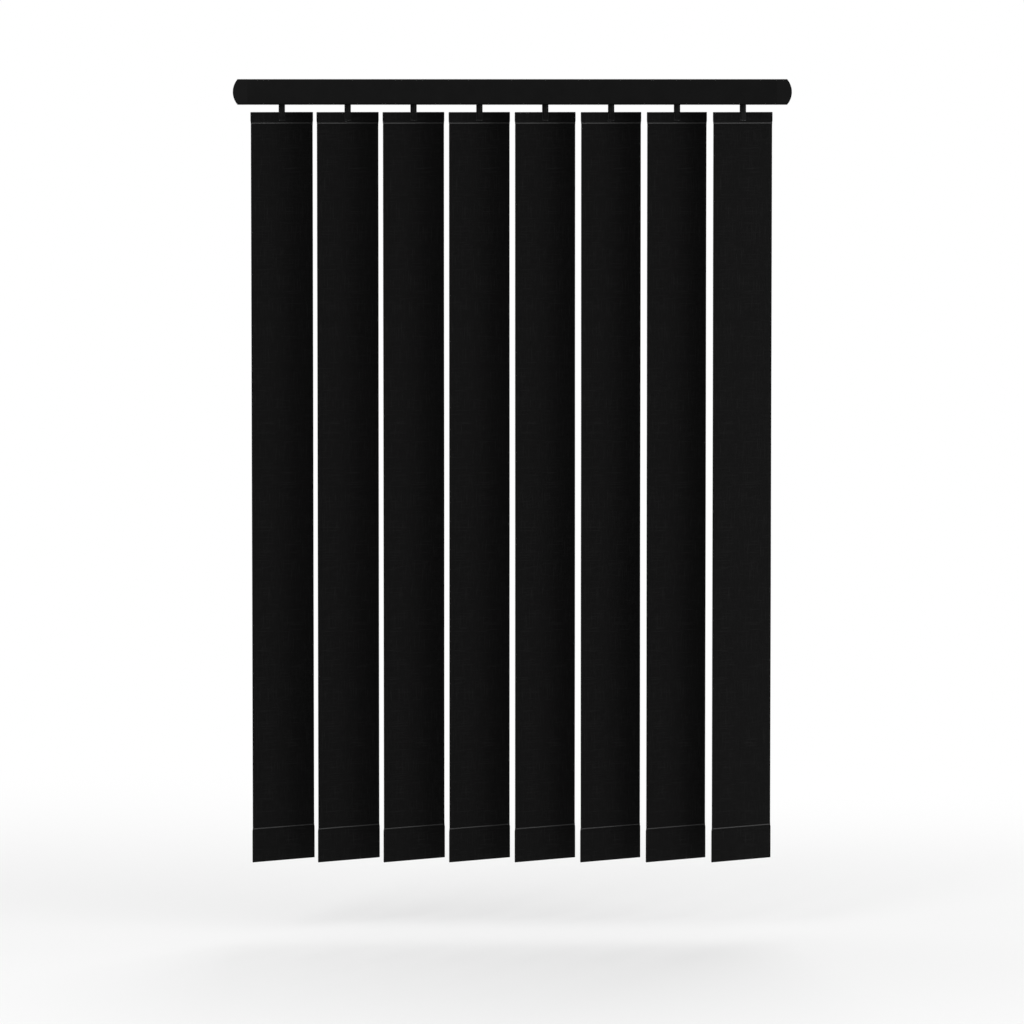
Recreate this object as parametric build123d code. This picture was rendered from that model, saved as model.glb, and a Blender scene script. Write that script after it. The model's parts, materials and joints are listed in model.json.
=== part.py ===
"""A vertical blind: eight fabric louvres hang from carriers that run in a slim headrail.

Millimetres, +Z up, +X along the headrail to the right, +Y towards the wall. The origin is on the wall,
in the middle of the four wall screws. Shapes are drawn about the headrail's middle, with heights counted
from its underside, and place() moves them to the wall.
"""
from build123d import *
from math import cos, pi, radians, sin, tan
import os

# Small round pieces that repeat are drawn with this many flats, and the carriers' rollers with fewer
round_sides = 14
roller_sides = 12

# How far a cut runs past the face that it opens
cut_past = 1.0

# Louvres
louvre_count = 8
louvre_pitch = 80.0
louvre_width = 89.0
louvre_drop = 914.0
rest_tilt = 34.7
fabric_thickness = 0.4
pocket_ease = 0.05
pocket_taper = 2.0
weld_height = 1.5
top_pocket_height = 12.6
bottom_pocket_height = 40.4

# Headrail section
rail_depth = 44.0
fascia_height = 31.0
rail_height = 28.0
rail_wall = 1.3
track_thickness = 1.6
track_slot = 12.0
rail_corner = 3.0
rail_top_corner = 1.5
fascia_crop = 0.5
guide_rib_reach = 5.3
guide_rib_thickness = 1.2
guide_rib_gap = 0.6
channel_mouth = 20.0
channel_width = 25.0
channel_depth = 3.8
channel_wall = 1.2
rail_end_margin = 58.5
wall_gap = 12.5

# Wall brackets, and the spring clips that hold the headrail
bracket_inset = 118.5
bracket_width = 24.0
bracket_thickness = 2.0
bracket_bend = 3.0
bracket_foot = 1.5
gusset_leg = 18.0
screw_spacing = 14.0
screw_hole_radius = 2.25
clip_length = 20.0
clip_thickness = 1.0
clip_gap = 0.3
clip_toe = 3.4
rivet_radius = 1.9
rivet_head_radius = 3.4
rivet_head_height = 0.8
rivet_fit = 0.1

# End caps
cap_length = 12.2
cap_dome = 5.8
cap_wall = 1.6
plate_gap = 0.2
plug_length = 8.0

# Tilt rod and its bead-chain wheel
rod_tip_radius = 2.4
rod_flute_radius = 1.75
rod_flutes = 6
rod_fit = 0.1
wheel_radius = 8.0
wheel_width = 6.4
wheel_flange = 0.9
wheel_gap = 0.6
hub_radius = 4.0
hub_fit = 0.15
bead_count = 8
bead_depth = 2.4
chain_slot_width = 5.2

# Return pulley of the traverse cord
pulley_radius = 5.05
pulley_height = 4.0
pulley_groove = 0.8
pulley_flange = 0.8
pulley_pin_radius = 2.0
pulley_post_radius = 3.0
pulley_fit = 0.15
pulley_gap = 0.3
cord_wall_gap = 3.2
cord_level = 12.4
cord_hole = 2.4

# Worm drive in each carrier
gear_module = 0.8
gear_teeth = 10
gear_width = 4.0
gear_level = 10.3
tooth_reach = 0.6
tooth_root = 0.9
tooth_half = 0.44
flank_angle = 20.0
worm_pitch_radius = 3.9
worm_reach = 0.7
worm_root = 0.8
worm_half = 0.46
worm_turns = 2.0
worm_facets = 10
worm_end_play = 0.3
worm_fit = 0.12
gear_room = 0.4
gear_rest_gap = 0.1

# Carriers and spacer links
carrier_length = 15.0
carrier_lift = 0.6
cover_thickness = 2.0
base_crop = 1.2
roller_radius = 3.6
roller_width = 4.5
roller_gap = 0.15
roller_side_gap = 0.6
roller_wall_gap = 1.6
axle_half = 1.4
stack_pitch = 16.0
post_line = 8.0
post_width = 2.4
link_width = 6.0
link_thickness = 0.3
link_step = 0.55
link_lift = 0.3
link_end = 3.0
link_slot_gap = 0.25

# Hooks, hangers and weights
stem_radius = 3.9
stem_fit = 0.12
stem_show = 8.8
jaw_width = 7.0
jaw_height = 9.0
jaw_thickness = 1.0
jaw_crop = 1.6
jaw_ease = 0.05
barb_width = 2.8
barb_height = 2.4
barb_drop = 3.4
barb_ease = 0.15
hanger_thickness = 1.0
hanger_inset = 1.5
hanger_crop = 1.5
notch_gap = 1.4
weight_thickness = 1.2
weight_inset = 4.0
weight_headroom = 1.35
weight_crop = 4.0

# Places that follow from the sizes
rail_length = (louvre_count - 1) * louvre_pitch + 2 * rail_end_margin
rail_end = rail_length / 2 - cap_length - cap_dome
rail_y = -(louvre_width / 2 + wall_gap)
rail_z = -fascia_height / 2
inner_half = rail_depth / 2 - rail_wall
channel_floor = rail_height - channel_depth
rib_low = track_thickness + roller_gap + 2 * roller_radius + guide_rib_gap
flank_slope = tan(radians(flank_angle))
worm_lead = pi * gear_module
gear_pitch_radius = gear_module * gear_teeth / 2
gear_tip_radius = gear_pitch_radius + tooth_reach
gear_core_radius = gear_pitch_radius - tooth_root
worm_y = gear_pitch_radius + worm_pitch_radius
worm_tip_radius = worm_pitch_radius + worm_reach
worm_core_radius = worm_pitch_radius - worm_root
thread_half = worm_lead * worm_turns / 2 + worm_half + worm_root * flank_slope
carrier_bottom = track_thickness + carrier_lift
carrier_half = inner_half - roller_wall_gap - roller_width - roller_side_gap
cord_return_line = inner_half - cord_wall_gap
cord_line = cord_return_line - 2 * (pulley_radius - pulley_groove)
pulley_x = (cap_wall + cap_length) / 2
pulley_y = -(cord_line + cord_return_line) / 2
gear_bottom = gear_level - gear_width / 2
gear_top = gear_level + gear_width / 2
trough_radius = worm_tip_radius + gear_room
cover_top = gear_level + trough_radius + cover_thickness
shelf_top = gear_top + gear_room + cover_thickness
plate_end = cap_wall + wheel_gap
wheel_end = plate_end + wheel_width
plug_low = cord_level + cord_hole / 2 + plate_gap
plug_high = channel_floor - channel_wall - plate_gap
louvre_top = -stem_show
louvre_bottom = louvre_top - louvre_drop
hanger_half = hanger_thickness / 2
weight_half = weight_thickness / 2
hanger_top = louvre_top - hanger_half - pocket_ease - fabric_thickness
jaw_reach = hanger_half + jaw_ease + jaw_thickness
weight_low = louvre_bottom + weight_half + pocket_ease + fabric_thickness
weight_height = louvre_bottom + bottom_pocket_height - pocket_taper - weight_headroom - weight_low


def place(shape, x=0.0):
    """Moves a shape from the headrail's own section to its place in front of the wall."""
    return Pos(x, rail_y, rail_z) * shape


def station_x(number):
    """Where a carrier stands along the headrail: number 1 is beside the control end, on the right."""
    return ((louvre_count + 1) / 2 - number) * louvre_pitch


def block(low, high):
    """A box between two opposite corners."""
    size = [b - a for a, b in zip(low, high)]
    middle = [(a + b) / 2 for a, b in zip(low, high)]
    return Pos(*middle) * Box(*size)


def band(low, high):
    """A rectangle between two opposite corners."""
    size = [b - a for a, b in zip(low, high)]
    middle = [(a + b) / 2 for a, b in zip(low, high)]
    return Pos(*middle) * Rectangle(*size)


def along_rail(section, start, end):
    """Extrudes a (depth, height) section along the headrail, from one place on it to another."""
    return Pos(start, 0, 0) * extrude(Plane.YZ * section, end - start)


def disc(radius):
    """A small round outline."""
    return RegularPolygon(radius, round_sides)


def bore(radius):
    """The outline of a small round hole: its flats lie at the radius."""
    return RegularPolygon(radius, round_sides, major_radius=False)


def on_rod(outline, start, end):
    """Extrudes an outline about the tilt rod's axis."""
    return along_rail(Pos(worm_y, gear_level) * outline, start, end)


def upright(outline, low, high):
    """Extrudes an outline straight up."""
    return Pos(0, 0, low) * extrude(outline, high - low)


# Headrail

def rail_outline():
    """The outside of the headrail: a box, and an upstand along its front that hides the brackets."""
    half = rail_depth / 2
    box = band((-half, 0), (half, rail_height))
    box = fillet(box.vertices().group_by(Axis.Y)[0], rail_corner)
    box = fillet(box.vertices().group_by(Axis.Y)[-1].sort_by(Axis.X)[-1], rail_top_corner)
    upstand = band((-half, rail_height - rail_wall), (-half + rail_wall, fascia_height))
    upstand = chamfer(upstand.vertices().group_by(Axis.Y)[-1], fascia_crop)
    return box + upstand


def rail_room():
    """The hollow that the carriers run in, less the guide ribs over their rollers."""
    room = band((-inner_half, track_thickness), (inner_half, rail_height - rail_wall))
    room = fillet(room.vertices().group_by(Axis.Y)[0], rail_corner - rail_wall)
    for side in (-1, 1):
        middle = side * (inner_half - guide_rib_reach / 2)
        room -= Pos(middle, rib_low + guide_rib_thickness / 2) * Rectangle(guide_rib_reach, guide_rib_thickness)
    return room


def headrail():
    channel_half = channel_width / 2 + channel_wall
    section = rail_outline() - rail_room()
    section -= band((-track_slot / 2, -cut_past), (track_slot / 2, track_thickness + cut_past))
    section += band((-channel_half, channel_floor - channel_wall), (channel_half, rail_height))
    section -= band((-channel_mouth / 2, channel_floor), (channel_mouth / 2, fascia_height))
    section -= band((-channel_width / 2, channel_floor), (channel_width / 2, rail_height - channel_wall))
    return place(along_rail(section, -rail_end, rail_end))


# Wall brackets

def wall_bracket(x):
    """A bent strip with side gussets: a plate on the wall, and an arm over the headrail behind its upstand."""
    arm_top = rail_height + bracket_thickness
    strip = band((rail_y - channel_mouth / 2, rail_height), (0, arm_top))
    strip += band((-bracket_thickness, bracket_foot), (0, arm_top))
    strip = fillet(strip.vertices().group_by(Axis.Y)[-1].sort_by(Axis.X)[-1], bracket_bend)
    half = bracket_width / 2
    bracket = along_rail(strip, -half, half)
    gusset = make_face(Polyline((-bracket_thickness, rail_height),
                                (-bracket_thickness - gusset_leg, rail_height),
                                (-bracket_thickness, rail_height - gusset_leg), close=True))
    bracket += along_rail(gusset, -half, bracket_thickness - half)
    bracket += along_rail(gusset, half - bracket_thickness, half)
    screw_hole = Rot(90, 0, 0) * Cylinder(screw_hole_radius, 4 * bracket_thickness)
    for side in (-1, 1):
        bracket -= Pos(0, 0, fascia_height / 2 + side * screw_spacing / 2) * screw_hole
    rivet_hole = upright(bore(rivet_radius + rivet_fit), rail_height - cut_past, arm_top + cut_past)
    bracket -= Pos(0, rail_y, 0) * rivet_hole
    return Pos(x, 0, rail_z) * bracket


def rail_clip(x):
    """A spring strip bent to a hat: its toes hook under the lips of the headrail's channel."""
    half = channel_mouth / 2 - clip_gap
    toe_top = rail_height - channel_wall - clip_gap
    toe_low = toe_top - clip_thickness
    section = band((-half, rail_height - clip_thickness), (half, rail_height))
    for side in (-1, 1):
        wall_middle = side * (half - clip_thickness / 2)
        toe_middle = side * (half - clip_thickness + clip_toe / 2)
        leg = Rectangle(clip_thickness, rail_height - toe_low)
        section += Pos(wall_middle, (rail_height + toe_low) / 2) * leg
        section += Pos(toe_middle, (toe_top + toe_low) / 2) * Rectangle(clip_toe, clip_thickness)
    clip = along_rail(section, -clip_length / 2, clip_length / 2)
    clip -= upright(bore(rivet_radius + rivet_fit), channel_floor, rail_height + cut_past)
    return place(clip, x)


def clip_rivet(x):
    """The rivet that joins a clip to its arm. Its head stays behind the headrail's upstand."""
    low, high = rail_height - clip_thickness, rail_height + bracket_thickness
    rivet = upright(disc(rivet_radius), low, high)
    rivet += upright(disc(rivet_head_radius), high, high + rivet_head_height)
    rivet += upright(disc(rivet_head_radius), low - rivet_head_height, low)
    return place(rivet, x)


# End caps, drawn for the right-hand end: x is counted outwards from the end of the headrail

def cap_outside():
    """A block as deep and as high as the headrail, with an end that bows out."""
    half, total = rail_depth / 2, cap_length + cap_dome
    outline = band((-half, 0), (half, fascia_height))
    outline = fillet(outline.vertices().group_by(Axis.Y)[0], rail_corner)
    outline = chamfer(outline.vertices().group_by(Axis.Y)[-1], fascia_crop)
    side_bow = Polyline((cap_length, fascia_height), (0, fascia_height), (0, 0), (cap_length, 0))
    side_bow += ThreePointArc((cap_length, 0), (total, fascia_height / 2), (cap_length, fascia_height))
    return along_rail(outline, 0, total) & extrude(Plane.XZ * make_face(side_bow), half, both=True)


def cap_shell():
    """The outer moulding, open towards the headrail."""
    half = rail_depth / 2 - cap_wall
    return cap_outside() - block((-cut_past, -half, cap_wall), (cap_length, half, fascia_height - cap_wall))


def cap_plate():
    """The inner moulding: a plate that closes the cap, and a plug that pushes into the headrail."""
    half, plug_half = rail_depth / 2 - cap_wall - plate_gap, inner_half - plate_gap
    low, high = cap_wall + plate_gap, fascia_height - cap_wall - plate_gap
    plate = block((0, -half, low), (cap_wall, half, high))
    plate += block((-plug_length, -plug_half, plug_low), (0, plug_half, plug_high))
    return plate - block((-plug_length - cut_past, cap_wall - plug_half, plug_low + cap_wall),
                         (0, plug_half - cap_wall, plug_high - cap_wall))


def cord_holes():
    """Where the two runs of the traverse cord pass through a cap's inner plate."""
    holes = Part()
    for line in (cord_line, cord_return_line):
        holes += Pos(cap_wall / 2, -line, cord_level) * Box(2 * cap_wall, cord_hole, cord_hole)
    return holes


def end_cap_control():
    """The cap that houses the chain wheel, with outlets for chain and cord in its floor."""
    shell = cap_shell()
    shell += on_rod(disc(hub_radius + hub_fit + cap_wall), wheel_end + wheel_gap, cap_length + cap_wall)
    shell -= on_rod(bore(hub_radius + hub_fit), wheel_end, cap_length)
    wheel_middle = plate_end + wheel_width / 2
    floor = Pos(wheel_middle, 0, cap_wall / 2)
    for side in (-1, 1):
        slot = Box(chain_slot_width, chain_slot_width, 2 * cap_wall)
        shell -= floor * Pos(0, worm_y + side * wheel_radius, 0) * slot
    for line in (cord_line, cord_return_line):
        shell -= floor * Pos(0, -line, 0) * Box(2 * cord_hole, cord_hole, 2 * cap_wall)
    plate = cap_plate() - on_rod(bore(hub_radius + hub_fit), -cut_past, cap_wall + cut_past) - cord_holes()
    return [place(piece, rail_end) for piece in (shell, plate)]


def end_cap_return():
    """The cap that carries the free end of the rod, and the post of the return pulley."""
    shell = cap_shell()
    foot = Pos(pulley_x, pulley_y, 0)
    pulley_low = cord_level - pulley_height / 2
    shell += foot * upright(disc(pulley_post_radius), cap_wall / 2, pulley_low - pulley_gap)
    shell += foot * upright(disc(pulley_pin_radius), cap_wall / 2, cord_level + pulley_height)
    plate = cap_plate() + on_rod(disc(rod_tip_radius + rod_fit + cap_wall), 0, 2 * cap_wall)
    plate -= on_rod(bore(rod_tip_radius + rod_fit), -cut_past, 2 * cap_wall + cut_past)
    plate -= cord_holes()
    return [place(mirror(piece, Plane.YZ), -rail_end) for piece in (shell, plate)]


def return_pulley():
    """A drum between two flanges, free on its pin. Its two sides line up with the runs of the cord."""
    half = pulley_height / 2
    pulley = upright(disc(pulley_radius - pulley_groove), -half, half)
    pulley += upright(disc(pulley_radius), -half, pulley_flange - half)
    pulley += upright(disc(pulley_radius), half - pulley_flange, half)
    pulley -= upright(bore(pulley_pin_radius + pulley_fit), -pulley_height, pulley_height)
    return place(Pos(-pulley_x, pulley_y, cord_level) * pulley, -rail_end)


# Tilt rod and chain wheel

def fluted(tip_radius, flute_radius):
    """A star with one point for each flute of the rod, on the rod's axis."""
    points = []
    for step in range(2 * rod_flutes):
        radius = flute_radius if step % 2 else tip_radius
        angle = pi * step / rod_flutes
        points.append((worm_y + radius * cos(angle), gear_level + radius * sin(angle)))
    return make_face(Polyline(*points, close=True))


def tilt_rod():
    """A fluted bar from the bearing in the return cap to the outer end of the chain wheel."""
    rod = along_rail(fluted(rod_tip_radius, rod_flute_radius), -rail_end - 2 * cap_wall,
                     rail_end + cap_length - wheel_gap)
    return place(rod)


def chain_wheel():
    """A drum with two flanges, notched between them to grip the beads of a chain."""
    wheel = on_rod(disc(wheel_radius), plate_end, wheel_end)
    wheel += on_rod(disc(hub_radius), 0, cap_length - wheel_gap / 2)
    notch = Rot(45, 0, 0) * Box(wheel_width - 2 * wheel_flange, bead_depth, bead_depth)
    centre = Pos((plate_end + wheel_end) / 2, worm_y, gear_level)
    for step in range(bead_count):
        wheel -= centre * Rot(360 * step / bead_count, 0, 0) * Pos(0, wheel_radius, 0) * notch
    socket = fluted(rod_tip_radius + rod_fit, rod_flute_radius + rod_fit)
    wheel -= along_rail(socket, -cut_past, cap_length + cut_past)
    return place(wheel, rail_end)


# Worm and worm wheel

def worm_thread():
    """A faceted helical ridge: at each step of the turn a trapezium, joined to the next by flat facets."""
    foot = worm_root + worm_fit
    corners = [(-worm_half - foot * flank_slope, worm_pitch_radius - foot),
               (-worm_half + worm_reach * flank_slope, worm_tip_radius),
               (worm_half - worm_reach * flank_slope, worm_tip_radius),
               (worm_half + foot * flank_slope, worm_pitch_radius - foot)]
    steps = round(worm_turns * worm_facets)
    rings = []
    for step in range(steps + 1):
        turn = 2 * pi * (step - steps / 2) / worm_facets
        middle = worm_lead * turn / (2 * pi)
        rings.append([Vector(middle + dx, -radius * cos(turn), -radius * sin(turn)) for dx, radius in corners])
    faces = [Face(Wire.make_polygon(rings[0])), Face(Wire.make_polygon(rings[-1]))]
    for ring, following in zip(rings, rings[1:]):
        for corner in range(4):
            a, b = ring[corner], ring[(corner + 1) % 4]
            c, d = following[(corner + 1) % 4], following[corner]
            faces.append(Face(Wire.make_polygon([a, b, c])))
            faces.append(Face(Wire.make_polygon([a, c, d])))
    return Solid(Shell(faces))


def worm():
    """A single-start worm with plain ends that turn in the carrier, and a fluted bore for the rod."""
    half = carrier_length / 2
    core = along_rail(RegularPolygon(worm_core_radius, worm_facets), -half, half)
    shape = Pos(0, worm_y, gear_level) * (core + worm_thread())
    socket = fluted(rod_tip_radius + rod_fit, rod_flute_radius + rod_fit)
    return shape - along_rail(socket, -carrier_length, carrier_length)


def worm_wheel():
    """Teeth that lean with the worm's thread, with a space between two of them facing the worm."""
    lean = worm_lead / (2 * pi * worm_pitch_radius) * gear_width
    low, high = gear_core_radius - tooth_root / 2, gear_tip_radius
    low_half = tooth_half + (gear_pitch_radius - low) * flank_slope
    high_half = tooth_half - tooth_reach * flank_slope
    outline = make_face(Polyline((-low_half, low), (low_half, low), (high_half, high),
                                 (-high_half, high), close=True))
    tooth = Solid.extrude(Pos(lean / 2, 0, gear_bottom) * outline.face(), Vector(-lean, 0, gear_width))
    wheel = Pos(0, 0, gear_bottom) * extrude(RegularPolygon(gear_core_radius, gear_teeth), gear_width)
    for step in range(gear_teeth):
        wheel += Rot(0, 0, 360 * (step + 0.5) / gear_teeth) * tooth
    return wheel


# Hook, hanger, louvre and weight, drawn with the louvre along x

def hook():
    """A stem with the worm wheel on top, and two jaws below that clip over the hanger."""
    stem = upright(disc(stem_radius), louvre_top, gear_bottom)
    jaw = Rectangle(jaw_width, jaw_height)
    jaw = chamfer(jaw.vertices().group_by(Axis.Y)[0], jaw_crop)
    middle = louvre_top - jaw_height / 2
    jaws = Part()
    for side in (-1, 1):
        plane = Plane((0, side * (jaw_reach - jaw_thickness / 2), middle), x_dir=(1, 0, 0), z_dir=(0, -1, 0))
        jaws += extrude(plane * jaw, jaw_thickness / 2, both=True)
    barb_low = hanger_top - barb_drop - barb_height / 2
    jaws += block((-barb_width / 2, -hanger_half - 2 * jaw_ease, barb_low),
                  (barb_width / 2, hanger_half, barb_low + barb_height))
    return stem + worm_wheel() + Rot(0, 0, rest_tilt) * jaws


def hanger():
    """The stiff strip in the louvre's top pocket, with a window for the hook's barb."""
    height = hanger_top - louvre_top + top_pocket_height - pocket_taper - pocket_ease
    outline = chamfer(Rectangle(louvre_width - 2 * hanger_inset, height).vertices(), hanger_crop)
    window = Rectangle(barb_width + 2 * barb_ease, barb_height + 2 * barb_ease)
    outline -= Pos(0, height / 2 - barb_drop) * window
    plate = extrude(Plane.XZ * outline, hanger_half, both=True)
    return Rot(0, 0, rest_tilt) * Pos(0, 0, hanger_top - height / 2) * plate


def weight():
    """A steel plate that stands in the fold of the bottom pocket."""
    outline = chamfer(Rectangle(louvre_width - 2 * weight_inset, weight_height).vertices(), weight_crop)
    plate = extrude(Plane.XZ * outline, weight_half, both=True)
    return Rot(0, 0, rest_tilt) * Pos(0, 0, weight_low + weight_height / 2) * plate


def pocket(fold, seam, plate_half):
    """One end of the louvre's section as (outside, hollow): a pressed fold, closed again at the weld.

    fold is the height of the louvre's end, seam that of the weld. The fold points away from the seam.
    """
    away = 1 if fold > seam else -1
    inner = plate_half + pocket_ease
    outer = inner + fabric_thickness
    centre = fold - away * outer
    taper = seam + away * pocket_taper
    weld_end = seam - away * weld_height
    outside = Polyline((-outer, centre), (-outer, taper), (-fabric_thickness, seam),
                       (-fabric_thickness, weld_end), (fabric_thickness, weld_end),
                       (fabric_thickness, seam), (outer, taper), (outer, centre),
                       (outer / 2, fold), (-outer / 2, fold), close=True)
    hollow = Polyline((-inner, centre), (-inner, taper), (0, seam), (inner, taper), (inner, centre),
                      (inner / 2, centre + away * inner), (-inner / 2, centre + away * inner), close=True)
    return make_face(outside), make_face(hollow)


def louvre():
    """A strip of fabric, folded back and welded at both ends, with a notch at its top for the hook."""
    top_seam = louvre_top - top_pocket_height
    bottom_seam = louvre_bottom + bottom_pocket_height
    top_outside, top_hollow = pocket(louvre_top, top_seam, hanger_half)
    bottom_outside, bottom_hollow = pocket(louvre_bottom, bottom_seam, weight_half)
    single = band((-fabric_thickness / 2, bottom_seam), (fabric_thickness / 2, top_seam))
    section = top_outside + bottom_outside + single - top_hollow - bottom_hollow
    half = louvre_width / 2
    strip = along_rail(section, -half, half)
    notch_half = jaw_width / 2 + notch_gap
    notch_low = louvre_top - jaw_height - notch_gap
    strip -= block((-notch_half, -2 * jaw_reach, notch_low),
                   (notch_half, 2 * jaw_reach, louvre_top + cut_past))
    return Rot(0, 0, rest_tilt) * strip


# Carriers

def worm_tunnel(radius):
    """An eight-sided outline about the worm's axis, with its flats at a radius."""
    return Pos(worm_y, gear_level) * RegularPolygon(radius, 8, major_radius=False, rotation=22.5)


def carrier_rooms():
    """What is cut from both mouldings: room for the worm wheel, the worm, and the worm's plain ends."""
    reach = gear_tip_radius + gear_room
    rooms = block((-reach, -reach, gear_bottom - gear_rest_gap), (reach, reach, gear_top + gear_room))
    room_half = thread_half + worm_end_play
    rooms += along_rail(worm_tunnel(trough_radius), -room_half, room_half)
    seat = 2 * (worm_core_radius + worm_fit)
    axis = Pos(worm_y, gear_level)
    return rooms + along_rail(axis * Rectangle(seat, seat), -carrier_length, carrier_length)


def carrier_base():
    """The lower moulding, with its lower edges cropped to clear the headrail's corners."""
    section = band((-carrier_half, carrier_bottom), (carrier_half, gear_level))
    section = chamfer(section.vertices().group_by(Axis.Y)[0], base_crop)
    base = along_rail(section, -carrier_length / 2, carrier_length / 2) - carrier_rooms()
    return base - upright(bore(stem_radius + stem_fit), 0, gear_bottom)


def carrier_cover(number):
    """The upper moulding: a shelf over the worm wheel, a hump over the worm, and the post of the links."""
    section = worm_tunnel(trough_radius + cover_thickness) + band((-carrier_half, 0), (carrier_half, shelf_top))
    section &= band((-carrier_half, gear_level), (carrier_half, cover_top))
    cover = along_rail(section, -carrier_length / 2, carrier_length / 2) - carrier_rooms()
    cover -= Pos(0, -cord_line, cord_level) * Box(2 * carrier_length, cord_hole, cord_hole)
    return cover + block((-post_width / 2, -post_line - post_width / 2, shelf_top),
                         (post_width / 2, -post_line + post_width / 2, post_top(number)))


def carrier(number):
    """A base and a cover moulding, two rollers, and the link that draws the next carrier along."""
    pieces = [carrier_base(), carrier_cover(number), roller(-1), roller(1)]
    if number < louvre_count:
        pieces.append(spacer_link(number))
    return [place(piece, station_x(number)) for piece in pieces]


def roller(side):
    """A roller with its stub axle, which stands on the side of the base."""
    level = track_thickness + roller_gap + roller_radius
    axle = extrude(Rectangle(2 * axle_half, 2 * axle_half), roller_side_gap)
    wheel = extrude(RegularPolygon(roller_radius, roller_sides), roller_width)
    facing = Plane((0, side * carrier_half, level), z_dir=(0, side, 0))
    return facing * (axle + Pos(0, 0, roller_side_gap) * wheel)


def link_level(number):
    """Links lie one above another, the one nearest the stack on top."""
    return cover_top + link_lift + (louvre_count - 1 - number) * link_step


def post_top(number):
    """A carrier's post reaches its own link and the one that draws it, and no higher."""
    highest = link_level(max(number - 1, 1)) + link_thickness
    return highest + (link_step - link_thickness) / 2


def spacer_link(number):
    """A steel strip held on one carrier's post, with a slot that the next carrier's post slides in."""
    reach = louvre_pitch + post_width / 2 + link_slot_gap
    slot_start = stack_pitch - post_width / 2 - link_slot_gap
    outline = band((-reach - link_end, -link_width / 2), (link_end, link_width / 2))
    outline -= Rectangle(post_width, post_width)
    outline -= band((-reach, -post_width / 2 - link_slot_gap), (-slot_start, post_width / 2 + link_slot_gap))
    return Pos(0, -post_line, link_level(number)) * extrude(outline, link_thickness)


def write_nodes():
    os.makedirs("parts", exist_ok=True)
    bracket_x = rail_length / 2 - bracket_inset
    nodes = {
        "headrail": headrail(),
        "end_cap_control": end_cap_control(),
        "end_cap_return": end_cap_return(),
        "wall_bracket_left": wall_bracket(-bracket_x),
        "wall_bracket_right": wall_bracket(bracket_x),
        "rail_clip_left": rail_clip(-bracket_x),
        "rail_clip_right": rail_clip(bracket_x),
        "clip_rivets": [clip_rivet(-bracket_x), clip_rivet(bracket_x)],
        "tilt_rod": tilt_rod(),
        "chain_wheel": chain_wheel(),
        "return_pulley": return_pulley(),
    }
    repeated = {"worm": worm(), "hook": hook(), "hanger": hanger(), "louvre": louvre(), "weight": weight()}
    for number in range(1, louvre_count + 1):
        nodes[f"carrier_{number}"] = carrier(number)
        for name, shape in repeated.items():
            nodes[f"{name}_{number}"] = place(shape, station_x(number))
    for name, shape in nodes.items():
        solids = shape if isinstance(shape, list) else [shape]
        export_step(Compound(children=[solid for piece in solids for solid in piece.solids()]),
                    f"parts/{name}.step")


write_nodes()
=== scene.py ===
# %% [markdown]
# # A black vertical blind
# Eight fabric louvres hang from geared carriers in a slim black headrail. The construction comes ready
# made as a frame of solids at their real size. This lesson gives it its looks: cloth louvres with folded
# and welded ends, round hooks, worms and rollers, softened edges, and a finish for every surface.
#
# The frame never moves here. Each new piece is placed by what is measured on the frame, and rides on one
# of its bodies, so that it travels along when the blind turns or is drawn.

# %% Load the frame
import json
from math import atan2, cos, degrees, pi, radians, sin

import bmesh
import bpy
import numpy as np
from mathutils import Matrix, Vector


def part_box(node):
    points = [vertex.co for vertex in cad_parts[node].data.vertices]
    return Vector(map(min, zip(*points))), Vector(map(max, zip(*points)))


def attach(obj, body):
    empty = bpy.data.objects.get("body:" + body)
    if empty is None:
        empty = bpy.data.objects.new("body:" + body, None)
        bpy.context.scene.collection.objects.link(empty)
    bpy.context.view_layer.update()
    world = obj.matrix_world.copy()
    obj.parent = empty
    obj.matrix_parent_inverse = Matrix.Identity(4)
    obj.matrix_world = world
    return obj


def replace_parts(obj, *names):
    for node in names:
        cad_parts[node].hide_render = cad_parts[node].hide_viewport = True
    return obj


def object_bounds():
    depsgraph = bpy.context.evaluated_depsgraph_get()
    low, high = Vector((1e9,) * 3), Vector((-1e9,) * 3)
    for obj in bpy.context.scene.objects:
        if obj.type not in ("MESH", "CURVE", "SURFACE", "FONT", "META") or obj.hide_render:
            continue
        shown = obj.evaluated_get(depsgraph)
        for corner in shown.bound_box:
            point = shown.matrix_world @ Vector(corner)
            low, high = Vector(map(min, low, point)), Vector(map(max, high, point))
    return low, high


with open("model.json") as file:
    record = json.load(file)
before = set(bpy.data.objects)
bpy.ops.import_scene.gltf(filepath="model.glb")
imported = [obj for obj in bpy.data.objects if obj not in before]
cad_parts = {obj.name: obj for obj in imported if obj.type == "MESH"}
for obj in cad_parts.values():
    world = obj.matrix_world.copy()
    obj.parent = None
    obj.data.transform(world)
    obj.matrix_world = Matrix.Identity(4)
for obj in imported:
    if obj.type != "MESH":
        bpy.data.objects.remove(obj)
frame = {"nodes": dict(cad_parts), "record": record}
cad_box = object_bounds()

nodes = frame["nodes"]
record = frame["record"]
body_of = {node: body for body, members in record["behaviour"]["bodies"].items() for node in members}
louvre_numbers = [k for k in range(1, len(nodes)) if f"louvre_{k}" in nodes]
print("frame:", len(nodes), "nodes,", len(louvre_numbers), "louvres")

# %% [markdown]
# ## Measuring the frame
# All lengths are metres. A louvre is a thin upright strip that stands at an angle, so the box around it
# says little about its width. Its corners do: the direction in which they spread most is the direction of
# its width.


# %% Measure the louvres
def corners(name):
    """The corners of a node's mesh, one in a row."""
    return np.array([corner.co for corner in nodes[name].data.vertices])


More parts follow.
